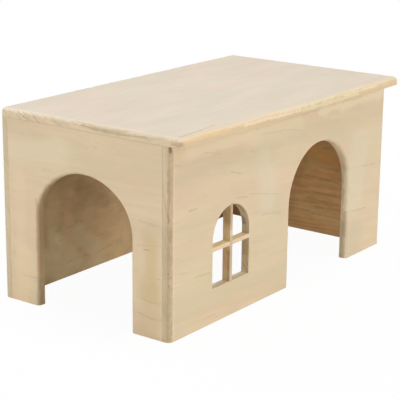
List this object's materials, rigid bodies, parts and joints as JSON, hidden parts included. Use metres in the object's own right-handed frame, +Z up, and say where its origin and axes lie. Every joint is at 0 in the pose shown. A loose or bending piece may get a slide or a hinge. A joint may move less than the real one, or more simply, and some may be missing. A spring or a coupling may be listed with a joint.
{
  "type": "wooden rabbit house",
  "caption": "Flat-roofed wooden house for a small rabbit, open underneath, with an arched doorway in the front and in one end and an arched window with crossed bars.",
  "frame": {"origin": "on the ground under the middle of the roof, which is the middle of the whole box", "axes": "+X along the length of the house, towards the end without a doorway; -Y is the front, with the window and the large doorway; +Z up"},
  "size_m": [0.4, 0.23, 0.2],
  "materials": {
    "wall_wood": "planed and sanded pale softwood, untreated, grain along the length of each board, rounded outer edges",
    "roof_wood": "planed and sanded pale softwood, untreated, grain along the length of the roof, rounded edges",
    "glazing_bar_wood": "sawn and sanded pale softwood strips, untreated",
    "dowel_wood": "turned hardwood pins with chamfered ends"
  },
  "bodies": {
    "root": {"roof_board": "roof_wood", "front_panel": "wall_wood", "back_panel": "wall_wood", "left_panel": "wall_wood", "right_panel": "wall_wood", "upright_glazing_bar": "glazing_bar_wood", "level_glazing_bar": "glazing_bar_wood", "front_left_dowel_1": "dowel_wood", "front_left_dowel_2": "dowel_wood", "front_left_dowel_3": "dowel_wood", "front_right_dowel_1": "dowel_wood", "front_right_dowel_2": "dowel_wood", "front_right_dowel_3": "dowel_wood", "back_left_dowel_1": "dowel_wood", "back_left_dowel_2": "dowel_wood", "back_left_dowel_3": "dowel_wood", "back_right_dowel_1": "dowel_wood", "back_right_dowel_2": "dowel_wood", "back_right_dowel_3": "dowel_wood", "roof_front_dowel_1": "dowel_wood", "roof_front_dowel_2": "dowel_wood", "roof_front_dowel_3": "dowel_wood", "roof_front_dowel_4": "dowel_wood", "roof_back_dowel_1": "dowel_wood", "roof_back_dowel_2": "dowel_wood", "roof_back_dowel_3": "dowel_wood", "roof_back_dowel_4": "dowel_wood", "roof_left_dowel_1": "dowel_wood", "roof_left_dowel_2": "dowel_wood", "roof_right_dowel_1": "dowel_wood", "roof_right_dowel_2": "dowel_wood"}
  },
  "joints": []
}
